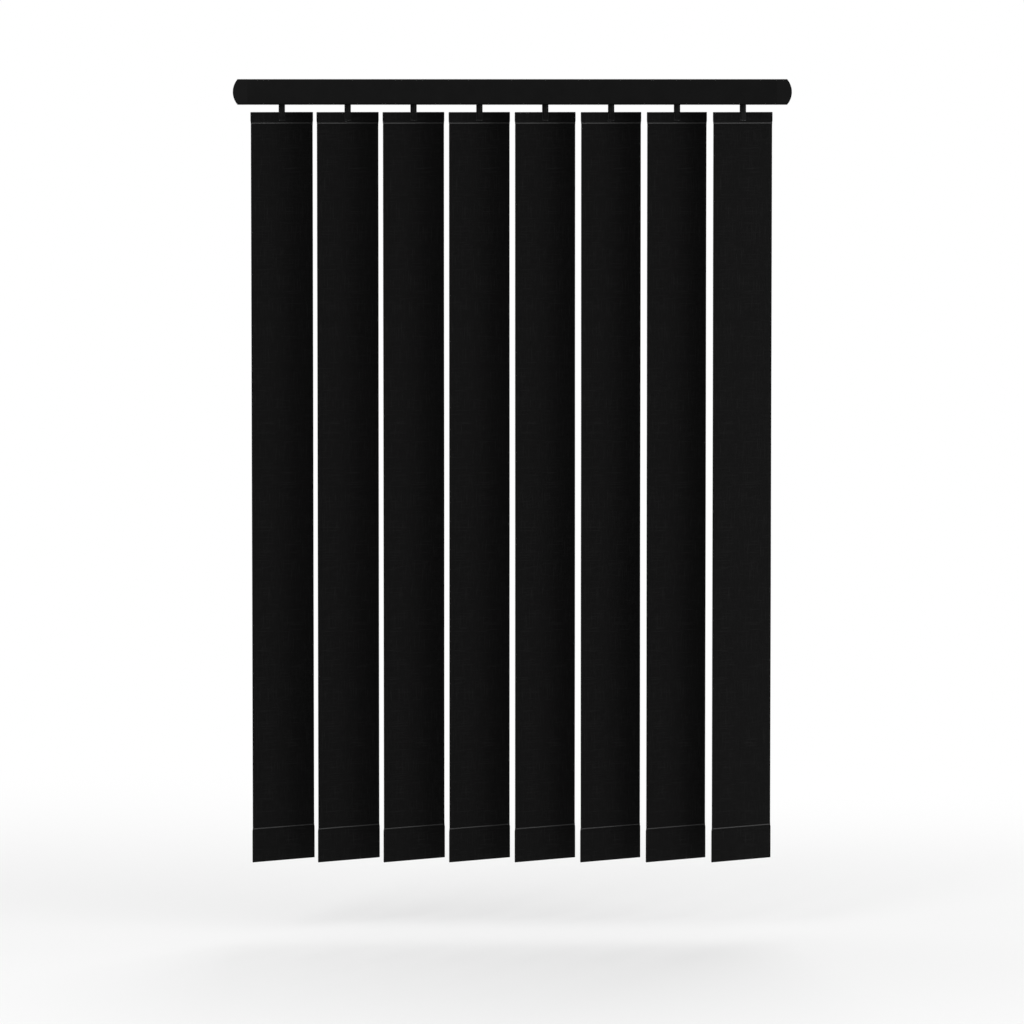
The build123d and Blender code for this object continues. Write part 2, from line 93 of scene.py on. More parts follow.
def plan(name):
    """An upright plate seen from above: its middle, its width, and its turn about Z."""
    flat = corners(name)[:, :2]
    middle = (flat.min(0) + flat.max(0)) / 2
    x, y = (flat - middle).T
    turn = atan2(2 * (x * y).mean(), (x * x).mean() - (y * y).mean()) / 2
    return middle, np.ptp(x * cos(turn) + y * sin(turn)), turn


_, louvre_width, rest_turn = plan("louvre_1")
louvre_low, louvre_high = (corner.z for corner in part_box("louvre_1"))
louvre_place = {k: Matrix.Translation((*plan(f"louvre_{k}")[0], 0)) @ Matrix.Rotation(rest_turn, 4, "Z")
                for k in louvre_numbers}
print(f"louvres: {1000 * louvre_width:.1f} mm wide, {1000 * (louvre_high - louvre_low):.1f} mm long,",
      f"turned {degrees(rest_turn):.1f} degrees")

# %% [markdown]
# ## Nodes as Python expressions
# Both shaders and Geometry Nodes are graphs of small nodes. A graph is easier to read when its arithmetic
# is written as arithmetic. This class wraps one socket, and gives it the operators: each one adds a Math
# node and returns its result, wrapped again. Any other kind of node comes from the one method `node`.


# %% A socket that can be calculated with
class Socket:
    """An output of a node. The maths on it adds Math nodes to its tree."""

    def __init__(self, tree, socket=None):
        self.tree = tree
        self.socket = socket

    def node(self, kind, settings=None, inputs=None, output=0):
        """Adds a node, with its settings first and then its inputs, and returns one of its outputs.

        An input is a plain value, a Socket to link, or a list of them where it takes several links.
        """
        made = self.tree.nodes.new(kind)
        for name, value in (settings or {}).items():
            setattr(made, name, value)
        for name, value in (inputs or {}).items():
            if isinstance(value, Socket):
                value = [value]
            if isinstance(value, list):
                for source in value:
                    self.tree.links.new(source.socket, made.inputs[name])
            else:
                made.inputs[name].default_value = value
        return Socket(self.tree, made.outputs[output])

    def maths(self, operation, *values):
        return self.node("ShaderNodeMath", {"operation": operation}, dict(enumerate(values)))

    def __add__(self, other):
        return self.maths("ADD", self, other)

    def __radd__(self, other):
        return self.maths("ADD", other, self)

    def __sub__(self, other):
        return self.maths("SUBTRACT", self, other)

    def __rsub__(self, other):
        return self.maths("SUBTRACT", other, self)

    def __mul__(self, other):
        return self.maths("MULTIPLY", self, other)

    def __rmul__(self, other):
        return self.maths("MULTIPLY", other, self)

    def __truediv__(self, other):
        return self.maths("DIVIDE", self, other)

    def __neg__(self):
        return self.maths("MULTIPLY", self, -1.0)

    def __pow__(self, other):
        return self.maths("POWER", self, other)

    def sine(self):
        return self.maths("SINE", self)

    def size(self):
        return self.maths("ABSOLUTE", self)

    def fraction(self):
        return self.maths("FRACT", self)

    def clamped(self):
        """This value, held between 0 and 1."""
        return self.node("ShaderNodeClamp", None, {"Value": self})

    def between(self, low, high):
        """From low to high, as this value goes from 0 to 1."""
        return low + (high - low) * self

    def mix(self, low, high):
        """A colour between two, with this value as the share of the second."""
        return self.node("ShaderNodeMix", {"data_type": "RGBA"}, {0: self, 6: low, 7: high}, output=2)

    def vector(self, x=0.0, y=0.0, z=0.0):
        """A vector made of three values."""
        return self.node("ShaderNodeCombineXYZ", None, {0: x, 1: y, 2: z})

    def axes(self):
        """The x, y and z of this vector."""
        split = self.node("ShaderNodeSeparateXYZ", None, {0: self}).socket.node
        return [Socket(self.tree, output) for output in split.outputs]


print("socket maths ready")


# %% [markdown]
# ## Finishes
# Every finish of the blind is one Principled shader. What is the same all over is set on the shader's own
# sockets. What changes over the surface comes from Object coordinates, which are metres here, or from the
# cloth's UV map, and feeds only the base colour, the roughness or a bump.


# %% The start of every material
def new_finish(name, plain_values):
    """A material with one Principled shader, its plain values, and a Socket for the rest of its tree."""
    material = bpy.data.materials.new(name)
    material.use_nodes = True
    shader = material.node_tree.nodes["Principled BSDF"]
    for label, value in plain_values.items():
        shader.inputs[label].default_value = value
    return material, shader, Socket(material.node_tree)


def feed(shader, **values):
    """Links what changes over the surface to the shader: base_color, roughness or normal."""
    for name, value in values.items():
        shader.id_data.links.new(value.socket, shader.inputs[name.replace("_", " ").title()])


def noise(graph, scale, detail=3, stretch=(1, 1, 1), roughness=0.5):
    """Smooth random values about 0.5: scale patches per metre, times stretch on each axis."""
    place = graph.node("ShaderNodeTexCoord", output="Object")
    place = graph.node("ShaderNodeMapping", None, {"Vector": place, "Scale": stretch})
    return graph.node("ShaderNodeTexNoise", None,
                      {"Vector": place, "Scale": scale, "Detail": detail, "Roughness": roughness})


def bump(graph, height, depth):
    """A normal from a height between 0 and 1, for a relief of the given depth in metres."""
    return graph.node("ShaderNodeBump", None, {"Height": height, "Distance": depth})


def grey(value, warmth=0.0):
    """A grey as a colour, a little warmer or cooler."""
    return value * (1 + warmth), value, value * (1 - warmth), 1.0


print("finish helpers ready")

# %% [markdown]
# ### Moulded and coated black
# The headrail is aluminium with a satin powder coat: melted grains leave a faint orange-peel surface. The
# end caps are moulded in a mould with a spark-eroded texture, which is finer and duller. The hooks,
# hangers and carriers are slippery plastics with a soft gloss and faint flow marks. A pair of numbers
# gives the darkest and the lightest grey, or the smoothest and the roughest surface, that the noise moves
# between.


# %% Black finishes
def powder_coat():
    material, shader, graph = new_finish("powder_coat", {"Specular IOR Level": 0.05})
    grains = noise(graph, scale=900, detail=2)
    patches = noise(graph, scale=60)
    feed(shader, base_color=patches.mix(grey(0.0022), grey(0.0038)), roughness=patches.between(0.36, 0.48),
         normal=bump(graph, grains, depth=0.00006))
    return material


def moulded_black(name, greys, roughness, texture_scale, texture_depth):
    """Black plastic, with the texture of its mould and faint marks where it flowed."""
    material, shader, graph = new_finish(name, {"Specular IOR Level": 0.06})
    texture = noise(graph, texture_scale, detail=4, roughness=0.7)
    flow = noise(graph, scale=40, detail=2, stretch=(1, 1, 4))
    feed(shader, base_color=flow.mix(*map(grey, greys)), roughness=texture.between(*roughness),
         normal=bump(graph, texture, texture_depth))
    return material


black_coat = powder_coat()
cap_plastic = moulded_black("cap_plastic", greys=(0.0024, 0.0039), roughness=(0.45, 0.55),
                            texture_scale=2600, texture_depth=0.00004)
hook_plastic = moulded_black("hook_plastic", greys=(0.0024, 0.0039), roughness=(0.29, 0.39),
                             texture_scale=1200, texture_depth=0.00001)
hanger_plastic = moulded_black("hanger_plastic", greys=(0.0096, 0.0156), roughness=(0.4, 0.5),
                               texture_scale=1800, texture_depth=0.00002)
carrier_plastic = moulded_black("carrier_plastic", greys=(0.024, 0.039), roughness=(0.35, 0.45),
                                texture_scale=1600, texture_depth=0.00002)
print("black finishes:", black_coat.name, cap_plastic.name, hook_plastic.name, carrier_plastic.name)

# %% [markdown]
# ### Metals, and the white of the gears
# Brackets and weights are zinc plated: bright grey with cloudy patches, a little cooler where they are
# darker. Springs, links and the rod are drawn or rolled, with fine lines along X. The worms, rollers,
# chain wheel and pulley are natural acetal, a milky white.


# %% Metals and acetal
def plated(name, greys, roughness, cloud_scale):
    """Zinc plate, with clouds between a darker, cooler grey and a lighter, warmer one."""
    material, shader, graph = new_finish(name, {"Metallic": 1.0})
    clouds = noise(graph, cloud_scale, detail=5, roughness=0.6)
    grain = noise(graph, scale=3000, detail=2)
    feed(shader, base_color=clouds.mix(grey(greys[0], warmth=-0.02), grey(greys[1], warmth=0.03)),
         roughness=clouds.between(*roughness), normal=bump(graph, grain, depth=0.000012))
    return material


def drawn(name, greys, roughness):
    """Metal with fine lines along X, left by the die or the rolls."""
    material, shader, graph = new_finish(name, {"Metallic": 1.0})
    lines = noise(graph, scale=6000, detail=2, stretch=(0.01, 1, 1))
    feed(shader, base_color=lines.mix(*map(grey, greys)), roughness=lines.between(*roughness),
         normal=bump(graph, lines, depth=0.00001))
    return material


def natural_acetal():
    material, shader, graph = new_finish("natural_acetal", {})
    milk = noise(graph, scale=220)
    feed(shader, base_color=milk.mix((0.68, 0.67, 0.62, 1), (0.8, 0.79, 0.75, 1)),
         roughness=milk.between(0.32, 0.44), normal=bump(graph, milk, depth=0.00003))
    return material


zinc = plated("zinc_plate", greys=(0.473, 0.605), roughness=(0.3, 0.46), cloud_scale=70)
weight_zinc = plated("weight_zinc", greys=(0.3612, 0.462), roughness=(0.38, 0.54), cloud_scale=45)
spring_steel = drawn("spring_steel", greys=(0.45, 0.54), roughness=(0.2, 0.32))
mill_aluminium = drawn("mill_aluminium", greys=(0.612, 0.7344), roughness=(0.24, 0.36))
acetal = natural_acetal()
print("metals:", zinc.name, weight_zinc.name, spring_steel.name, mill_aluminium.name)

# %% [markdown]
# ### The cloth
# Blind cloth is a dense plain weave of black polyester, stiffened so that it hangs flat. Its pattern has
# to follow the cloth round its folds, so it reads the piece's own UV map, where one unit is one metre of
# cloth. A product of two sines gives the checkerboard of threads over and under each other. It makes the
# relief, and it also darkens the colour in the gaps between the threads, which is painted shade. Long thin
# noise gives each thread its own black, and the peaks of a sparser noise are the slubs, where a thread is
# thicker for a while. The two long edges were cut hot, so the outermost threads are melted to a glossy
# rim.


# %% Woven cloth
thread_pitch = 0.00046
# How strongly the colour darkens in the gaps between threads: painted shade in the weave
gap_shade_power = 1.6
cut_rim = 0.0006
rim_gloss = 0.4
slub_start = 0.66
slub_rise = 0.1
slub_shade = 0.7
slub_height = 0.6

# Patches per metre across and down the cloth, first for the threads that run down and then for those across
yarn_patches = ((2600, 50), (40, 2400))
slub_patches = ((1500, 34), (26, 1300))


def long_patches(graph, cloth, patches, detail):
    """Noise on the flat cloth, with its own number of patches per metre across and down."""
    place = graph.node("ShaderNodeVectorMath", {"operation": "MULTIPLY"}, {0: cloth, 1: (*patches, 1)})
    return graph.node("ShaderNodeTexNoise", {"noise_dimensions": "2D"},
                      {"Vector": place, "Scale": 1.0, "Detail": detail, "Roughness": 0.6})


def woven_cloth():
    material, shader, graph = new_finish("woven_cloth", {"Specular IOR Level": 0.06, "Sheen Weight": 0.03,
                                                         "Sheen Roughness": 0.4})
    cloth = graph.node("ShaderNodeUVMap", {"uv_map": "cloth"})
    across, down, _ = cloth.axes()
    turns = 2 * pi / thread_pitch
    checks = 0.5 + 0.5 * (across * turns).sine() * (down * turns).sine()
    yarns = [long_patches(graph, cloth, patches, detail=3.0) for patches in yarn_patches]
    threads = 0.6 * checks + 0.2 * yarns[0] + 0.2 * yarns[1]
    peaks = [((long_patches(graph, cloth, patches, detail=1.0) - slub_start) / slub_rise).clamped()
             for patches in slub_patches]
    slubs = graph.maths("MAXIMUM", *peaks)
    rim = (1 - (louvre_width / 2 - (across - louvre_width / 2).size()) / cut_rim).clamped()
    # Darkest where the checkerboard is low, in the gaps between threads: painted shade, on top of each
    # thread's own black from the yarn noise
    colour = (threads ** gap_shade_power).mix(grey(0.0007), grey(0.0098))
    colour = (slub_shade * slubs).mix(colour, grey(0.012))
    feed(shader, base_color=rim.mix(colour, grey(0.006)),
         roughness=yarns[1].between(0.78, 0.94) - rim_gloss * rim,
         normal=bump(graph, threads * (1 - rim) + slub_height * slubs, depth=0.00016))
    return material


def fused_cloth():
    """The weld: threads melted together under a ribbed tool, so the black is glossy. Its greys, lighter
    than the cloth, are a painted highlight.
    """
    material, shader, graph = new_finish("fused_cloth", {})
    melt = noise(graph, scale=1500)
    # These greys stand for the light that the glossy ribs catch: a painted highlight
    feed(shader, base_color=melt.mix(grey(0.016), grey(0.03)), roughness=melt.between(0.32, 0.52),
         normal=bump(graph, melt, depth=0.00005))
    return material


cloth_finish = woven_cloth()
weld_finish = fused_cloth()
print("cloth finishes:", cloth_finish.name, weld_finish.name)

# %% [markdown]
# ## Solids taken apart
# The frame's meshes are loose triangles, and some nodes hold several solids. The triangles come one solid
# after another, and a solid is whole when every edge that its triangles passed along was also passed
# along the other way. Each solid becomes a mesh of its own, with its doubled corners merged and its flat
# faces joined up.


# %% Take a node apart
same_place = 1e-7
flat_angle = radians(0.5)


def solids_of(name):
    """A bmesh for each solid of a node."""
    mesh = nodes[name].data
    found, open_edges = [], set()
    for triangle in mesh.polygons:
        if not open_edges:
            found.append(bmesh.new())
            corner_at = {}
        spots = [mesh.vertices[k].co for k in triangle.vertices]
        places = [tuple(round(value / same_place) for value in spot) for spot in spots]
        for place, spot in zip(places, spots):
            if place not in corner_at:
                corner_at[place] = found[-1].verts.new(spot)
        if len(set(places)) < 3:
            continue
        found[-1].faces.new([corner_at[place] for place in places])
        for edge in zip(places, places[1:] + places[:1]):
            if edge[::-1] in open_edges:
                open_edges.remove(edge[::-1])
            else:
                open_edges.add(edge)
    for solid in found:
        bmesh.ops.dissolve_limit(solid, angle_limit=flat_angle, verts=solid.verts, edges=solid.edges)
    return found


def extent(solid):
    """The lowest and highest corner of a bmesh."""
    spots = np.array([corner.co for corner in solid.verts])
    return Vector(spots.min(0)), Vector(spots.max(0))


def one_mesh(name, solids, finish):
    """A mesh that holds one or more solids, with its finish."""
    whole = bmesh.new()
    part = bpy.data.meshes.new("part")
    mesh = bpy.data.meshes.new(name)
    for solid in solids:
        solid.to_mesh(part)
        whole.from_mesh(part)
        solid.free()
    whole.to_mesh(mesh)
    whole.free()
    mesh.materials.append(finish)
    return mesh


print("solid helpers ready")

# %% [markdown]
# ## Softened edges
# No real edge is perfectly sharp: an extrusion, a moulding or a pressed strip always has a small radius,
# and that radius catches the light. Most of the frame's solids have the right shape already, so each of
# those is shown by a copy with its finish. A Bevel modifier rounds every edge of it that is sharper than
# 35 degrees, and leaves the facets of round stretches to smooth shading.


# %% Soften the edges of a copy
sharp_angle = radians(35)


def show(name, data):
    """An object in the scene, at the origin, for a mesh, a lamp or a camera."""
    made = bpy.data.objects.new(name, data)
    bpy.context.scene.collection.objects.link(made)
    return made


def smooth(piece, angle=sharp_angle):
    """Smooth shading, with a hard edge where faces meet at more than the angle."""
    piece.data.shade_smooth()
    piece.data.set_sharp_from_angle(angle=angle)
    return piece


def softened(piece, width):
    """Rounds the edges of a piece with a modifier."""
    bevel = smooth(piece).modifiers.new("soft_edges", "BEVEL")
    bevel.width = width
    bevel.segments = 2
    bevel.limit_method = "ANGLE"
    bevel.angle_limit = sharp_angle
    bevel.harden_normals = True
    return piece


def stand_in(piece, name):
    """Shows a piece instead of a node, on the node's body."""
    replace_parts(piece, name)
    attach(piece, body_of[name])
    return piece


# The radius of the edges and the finish, by how a node's name starts
edge_and_finish = {"headrail": (0.00025, black_coat), "end_cap": (0.0003, cap_plastic),
                   "wall_bracket": (0.0002, zinc), "rail_clip": (0.00012, spring_steel),
                   "clip_rivets": (0.0002, spring_steel), "tilt_rod": (0.00012, mill_aluminium),
                   "chain_wheel": (0.0002, acetal), "hanger": (0.00012, hanger_plastic),
                   "weight": (0.0002, weight_zinc)}
soft_pieces = []
for name in nodes:
    for start, (width, finish) in edge_and_finish.items():
        if name.startswith(start):
            piece = show(f"{name}_softened", one_mesh(name, solids_of(name), finish))
            soft_pieces.append(stand_in(softened(piece, width), name))
print("softened:", [piece.name for piece in soft_pieces])

# %% [markdown]
# ## Turned pieces
# Rollers and pulleys are moulded round. A shape that is the same all round its axis is a line spun about
# it, as on a lathe. A line that starts on the axis must end on it. One that stays clear of the axis is
# closed first, and leaves a bore. The spin can come out with its faces inwards, so they are turned
# outwards once it is whole.


# %% A lathe
lathe_steps = 40


def turned(name, profile, finish):
    """A mesh spun about Z from (radius, height) points."""
    work = bmesh.new()
    line = [work.verts.new((radius, 0, height)) for radius, height in profile]
    edges = [work.edges.new(pair) for pair in zip(line, line[1:])]
    if profile[0][0] > 0:
        edges.append(work.edges.new((line[-1], line[0])))
    bmesh.ops.spin(work, geom=line + edges, cent=(0, 0, 0), axis=(0, 0, 1), dvec=(0, 0, 0), angle=2 * pi,
                   steps=lathe_steps, use_merge=True)
    bmesh.ops.remove_doubles(work, verts=work.verts, dist=same_place)
    bmesh.ops.recalc_face_normals(work, faces=work.faces)
    return one_mesh(name, [work], finish)


def bowed(start, end, bulge, steps=6):
    """Points between two (radius, height) points, on a shallow arc that bulges outwards by a length."""
    found = []
    for step in range(steps + 1):
        share = step / steps
        radius = start[0] + (end[0] - start[0]) * share + bulge * sin(pi * share)
        found.append((radius, start[1] + (end[1] - start[1]) * share))
    return found


print("lathe ready")

# %% [markdown]
# ### The return pulley
# The cord turns back round a small pulley in the far end cap. It has two flanges with broken edges and a
# round groove between them, which a line with a hollow bow gives. The line is the same above and below
# its middle, so only the upper half is written down, from the groove to the bore.

# %% Turn the pulley
pulley_flange = 0.0008
pulley_edge = 0.00015
pulley_bore = 0.00215
groove_depth = 0.0008
groove_steps = 10

pulley_low, pulley_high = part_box("return_pulley")
radius = (pulley_high.x - pulley_low.x) / 2
half = (pulley_high.z - pulley_low.z) / 2
upper = [(radius - pulley_edge, half - pulley_flange), (radius, half - pulley_flange + pulley_edge),
         (radius, half - pulley_edge), (radius - pulley_edge, half), (pulley_bore, half)]
lower = [(distance, -height) for distance, height in reversed(upper)]
groove = bowed(lower[-1], upper[0], -groove_depth, groove_steps)[1:-1]
pulley = turned("return_pulley", lower + groove + upper, acetal)
pulley.transform(Matrix.Translation((pulley_low + pulley_high) / 2))
stand_in(smooth(show("return_pulley_turned", pulley)), "return_pulley")
print(f"pulley: {2000 * radius:.1f} mm across,", len(pulley.polygons), "faces")

# %% [markdown]
# ## The carriers
# A carrier is a small truck. Two dark mouldings clip together round a worm and its wheel, a white roller
# runs on each side, and a thin steel link draws the next carrier along. A roller is a turned piece too: a
# crowned tread, and a dished face with a pin in the middle. Its line is worked out from the size of the
# frame's roller.

# %% Draw the roller's section
axle_radius = 0.0014
axle_length = 0.0006
tread_edge = 0.0004
tread_crown = 0.00005
tread_break = 0.3 * tread_edge
dish_radius = 0.0028
dish_depth = 0.0007
dish_slope = dish_depth / 4
pin_radius = 0.0017
pin_top = 0.8 * pin_radius


def roller_profile(radius, end):
    """Half of a roller's section with its stub axle, as (radius, height) points from the axle outwards."""
    tread = radius - tread_crown
    start = axle_length
    return [(0, 0), (axle_radius, 0), (axle_radius, start), (tread - tread_edge, start),
            (tread - tread_break, start + tread_break),
            *bowed((tread, start + tread_edge), (tread, end - tread_edge), tread_crown),
            (tread - tread_break, end - tread_break), (tread - tread_edge, end), (dish_radius, end),
            (dish_radius - dish_slope, end - dish_depth), (pin_radius + dish_slope, end - dish_depth),
            (pin_radius, end - dish_slope), (pin_top, end), (0, end)]


print("a roller's section has", len(roller_profile(0.0, 0.0)), "points")

# %% [markdown]
# ### Carriers split by finish
# A carrier's solids are one node in the frame, and they differ in finish, so they become up to three
# pieces that stand for it together. They are told apart by their boxes: a link is thin, and a roller is
# as high as it is long. Its stub axle points at the moulding that carries it.

# %% Split and finish the carriers
thickest_link = 0.001
moulding_edge = 0.00015
link_edge = 0.00008


def kind_of(solid):
    """Whether a solid of a carrier is a link, a roller or a moulding."""
    low, high = extent(solid)
    length, depth, height = high.x - low.x, high.y - low.y, high.z - low.z
    if height < thickest_link:
        return "link"
    if abs(height - length) < tread_edge and depth < height:
        return "roller"
    return "moulding"


def new_roller(solid, middle_y):
    """A turned roller in the place of a solid, with its axle towards the middle of the carrier."""
    low, high = extent(solid)
    side = 1 if low.y > middle_y else -1
    foot = Vector(((low.x + high.x) / 2, low.y if side > 0 else high.y, (low.z + high.z) / 2))
    wheel = turned("roller", roller_profile((high.z - low.z) / 2, high.y - low.y), acetal)
    wheel.transform(Matrix.Translation(foot) @ Matrix.Rotation(-side * pi / 2, 4, "X"))
    return wheel


for name in (f"carrier_{k}" for k in louvre_numbers):
    solids = {"moulding": [], "roller": [], "link": []}
    for solid in solids_of(name):
        solids[kind_of(solid)].append(solid)
    middle_y = (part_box(name)[0].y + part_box(name)[1].y) / 2
    wheels = bmesh.new()
    for solid in solids["roller"]:
        wheels.from_mesh(new_roller(solid, middle_y))
    stand_in(smooth(show(f"{name}_rollers", one_mesh(name, [wheels], acetal))), name)
    body = show(f"{name}_mouldings", one_mesh(name, solids["moulding"], carrier_plastic))
    stand_in(softened(body, moulding_edge), name)
    if solids["link"]:
        link = show(f"{name}_link", one_mesh(name, solids["link"], spring_steel))
        stand_in(softened(link, link_edge), name)
print("carriers:", len(louvre_numbers), "of", len(solids["moulding"]), "mouldings and",
      len(solids["roller"]), "rollers")

# %% [markdown]
# ## Trees of nodes for shapes
# Geometry Nodes make the shapes that follow a rule. Each tree is written out here, with named inputs for
# its sizes. Its result is instances and attributes until it is made a mesh, so a helper puts the tree on
# an object as a modifier, sets its inputs by their identifiers, and keeps only the plain mesh that comes
# out.


# %% Start, end and run a tree
tooth_angle = radians(30)


def new_tree(name, sizes):
    """A Geometry Nodes tree with a geometry input and output, and named number inputs with start values."""
    tree = bpy.data.node_groups.new(name, "GeometryNodeTree")
    tree.interface.new_socket("Geometry", in_out="INPUT", socket_type="NodeSocketGeometry")
    tree.interface.new_socket("Geometry", in_out="OUTPUT", socket_type="NodeSocketGeometry")
    for label, value in sizes.items():
        made = tree.interface.new_socket(label, in_out="INPUT", socket_type="NodeSocketFloat")
        made.default_value = value
    entry = tree.nodes.new("NodeGroupInput")
    return tree, {socket.name: Socket(tree, socket) for socket in entry.outputs if socket.name}


def end_tree(tree, geometry, finish):
    """Ends a tree as every tree here ends: real geometry, with its material set."""
    real = geometry.node("GeometryNodeRealizeInstances", None, {"Geometry": geometry})
    done = real.node("GeometryNodeSetMaterial", None, {"Geometry": real, "Material": finish})
    tree.links.new(done.socket, tree.nodes.new("NodeGroupOutput").inputs["Geometry"])
    return tree


def line_mesh(name, points):
    """A mesh of points joined by edges, one after another."""
    mesh = bpy.data.meshes.new(name)
    mesh.from_pydata(points, [(k, k + 1) for k in range(len(points) - 1)], [])
    return mesh


def grown(name, mesh, tree, place=Matrix.Identity(4), wall=0.0, **sizes):
    """An object with the mesh that a tree makes from another mesh, given a wall, and moved to its place."""
    maker = show("maker", mesh)
    modifier = maker.modifiers.new("tree", "NODES")
    modifier.node_group = tree
    for socket in tree.interface.items_tree:
        label = socket.name.replace(" ", "_").lower()
        if socket.in_out == "INPUT" and label in sizes:
            modifier[socket.identifier] = sizes[label]
    if wall:
        thick = maker.modifiers.new("wall", "SOLIDIFY")
        thick.thickness = wall
        thick.offset = 0.0
    made = bpy.data.meshes.new_from_object(maker.evaluated_get(bpy.context.evaluated_depsgraph_get()))
    bpy.data.objects.remove(maker)
    made.name = name
    made.transform(place)
    return show(name, made)


def repeat(made, part, ending, places):
    """Copies of one piece, one for each louvre, each moved to its place and shown instead of its node."""
    for k, place in places.items():
        mesh = made.data.copy()
        mesh.transform(Matrix.Translation(place))
        stand_in(smooth(show(f"{part}_{k}_{ending}", mesh), tooth_angle), f"{part}_{k}")
    print(f"{part}s:", len(places), "of", len(made.data.polygons), "faces")
    bpy.data.objects.remove(made)


seed_point = line_mesh("seed_point", [(0.0, 0.0, 0.0)])
print("tree helpers ready")

# %% [markdown]
# ## The hooks
# A hook is one moulding. Its round stem hangs in the carrier, and ends at the top in a small worm wheel
# with ten leaning teeth, on a short neck that leaves room for the worm's thread. Below, two jaws clip
# over the hanger in the louvre's pocket, and a barb on the front jaw snaps into the hanger's window.

# %% Hook sizes
stem_radius = 0.0039
stem_sides = 48
neck_height = 0.0005
neck_overlap = 0.0002
wheel_width = 0.004
wheel_teeth = 10
wheel_rings = 4
tooth_points = 20
core_radius = 0.0031
tip_radius = 0.0046
tooth_root = radians(14.2)
tooth_tip = radians(2.8)
tooth_twist = radians(5.9)
jaw_width = 0.007
jaw_thickness = 0.001
jaw_face = 0.00155
jaw_round = 0.0016
jaw_root = 0.002
barb_width = 0.0028
barb_height = 0.0024
barb_round = 0.0004
barb_drop = 0.0034
barb_back = 0.0005
round_steps = 6
hook_low, hook_high = (corner.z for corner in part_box("hook_1"))
hanger_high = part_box("hanger_1")[1].z
print(f"hook: {1000 * (hook_high - hook_low):.1f} mm long")

# %% [markdown]
# ### Plain solids in a tree
# The stem, the jaws and the barb are outlines pushed straight through a thickness. A curve swept along a
# straight line with its ends filled does that, and it can start from a circle, a star or a rectangle with
# round corners.


# %% Prisms and plates
def prism(start, outline, low, high):
    """A closed prism: an outline swept straight up from one height to another."""
    path = start.node("GeometryNodeCurvePrimitiveLine", None,
                      {"Start": start.vector(z=low), "End": start.vector(z=high)})
    return start.node("GeometryNodeCurveToMesh", None,
                      {"Curve": path, "Profile Curve": outline, "Fill Caps": True})


def round_bar(start, radius, low, high):
    """A closed round bar."""
    outline = start.node("GeometryNodeCurvePrimitiveCircle", None,
                         {"Resolution": stem_sides, "Radius": radius})
    return prism(start, outline, low, high)


def rounded_plate(start, width, height, thickness, corner, middle):
    """An upright plate with round corners. Its middle is a point."""
    outline = start.node("GeometryNodeCurvePrimitiveQuadrilateral", None,
                         {"Width": width, "Height": height})
    outline = start.node("GeometryNodeFilletCurve", {"mode": "POLY"},
                         {"Curve": outline, "Radius": corner, "Count": round_steps})
    plate = prism(start, outline, thickness / -2, thickness / 2)
    return start.node("GeometryNodeTransform", None,
                      {"Geometry": plate, "Translation": middle, "Rotation": (pi / 2, 0, 0)})


print("prism helpers ready")

# %% [markdown]
# ### The hook's tree
# The teeth follow a rule, so they are worked out and not drawn: a cylinder with radius 1 is pulled in and
# out by a wave that repeats ten times round, and that turns a little with height. A Mesh Boolean joins
# the wheel, the neck, the stem and the clip into one skin, as in the real moulding.


# %% Build the hook tree
def worm_wheel(start, low, high):
    """The toothed wheel: the radius of each point follows from its angle and height."""
    wheel = start.node("GeometryNodeMeshCylinder", {"fill_type": "NGON"},
                       {"Vertices": wheel_teeth * tooth_points, "Side Segments": wheel_rings, "Radius": 1.0,
                        "Depth": high - low})
    x, y, z = start.node("GeometryNodeInputPosition").axes()
    turned_by = start.maths("ARCTAN2", y, x) - pi / 2 - z * (tooth_twist / (high - low))
    off_tooth = ((turned_by * (wheel_teeth / (2 * pi))).fraction() - 0.5).size() * (2 * pi / wheel_teeth)
    rise = ((tooth_root - off_tooth) / (tooth_root - tooth_tip)).clamped()
    radius = core_radius + rise * (tip_radius - core_radius)
    spot = start.vector(x * radius, y * radius, z + (low + high) / 2)
    return start.node("GeometryNodeSetPosition", None, {"Geometry": wheel, "Position": spot})


def hook_clip(start):
    """Two jaws with a barb on the front one, as they lie before the hook is turned to its louvre."""
    jaw_height = louvre_high - hook_low + jaw_root
    jaw_middle = (louvre_high + hook_low + jaw_root) / 2
    parts = [rounded_plate(start, jaw_width, jaw_height, jaw_thickness, jaw_round,
                           (0, side * (jaw_face - jaw_thickness / 2), jaw_middle)) for side in (-1, 1)]
    barb_depth = jaw_face - jaw_thickness / 2 + barb_back
    parts.append(rounded_plate(start, barb_width, barb_height, barb_depth, barb_round,
                               (0, barb_back - barb_depth / 2, hanger_high - barb_drop)))
    return start.node("GeometryNodeJoinGeometry", None, {"Geometry": parts})


def hook_tree():
    tree, given = new_tree("hook", {"Stem Radius": stem_radius, "Louvre Top": louvre_high,
                                    "Turn": rest_turn})
    start = given["Geometry"]
    wheel_low = hook_high - wheel_width
    stem = round_bar(start, given["Stem Radius"], given["Louvre Top"], wheel_low - neck_height)
    neck = round_bar(start, core_radius, wheel_low - neck_height - neck_overlap, wheel_low + neck_overlap)
    clip = start.node("GeometryNodeTransform", None,
                      {"Geometry": hook_clip(start), "Rotation": start.vector(z=given["Turn"])})
    union = start.node("GeometryNodeMeshBoolean", {"operation": "UNION", "solver": "EXACT"},
                       {"Self Intersection": True,
                        "Mesh 2": [clip, stem, neck, worm_wheel(start, wheel_low, hook_high)]})
    return end_tree(tree, union, hook_plastic)


repeat(grown("moulding", seed_point, hook_tree()), "hook", "moulding",
       {k: louvre_place[k].translation for k in louvre_numbers})

# %% [markdown]
# ## The worms
# A worm is a screw with one thread, moulded with plain ends that turn in the carrier, and bored to slide
# along the fluted rod. The thread makes two turns and runs out at both ends, so that it has no sharp
# start. Its lead is what one tooth of the wheel takes up at the pitch circle.

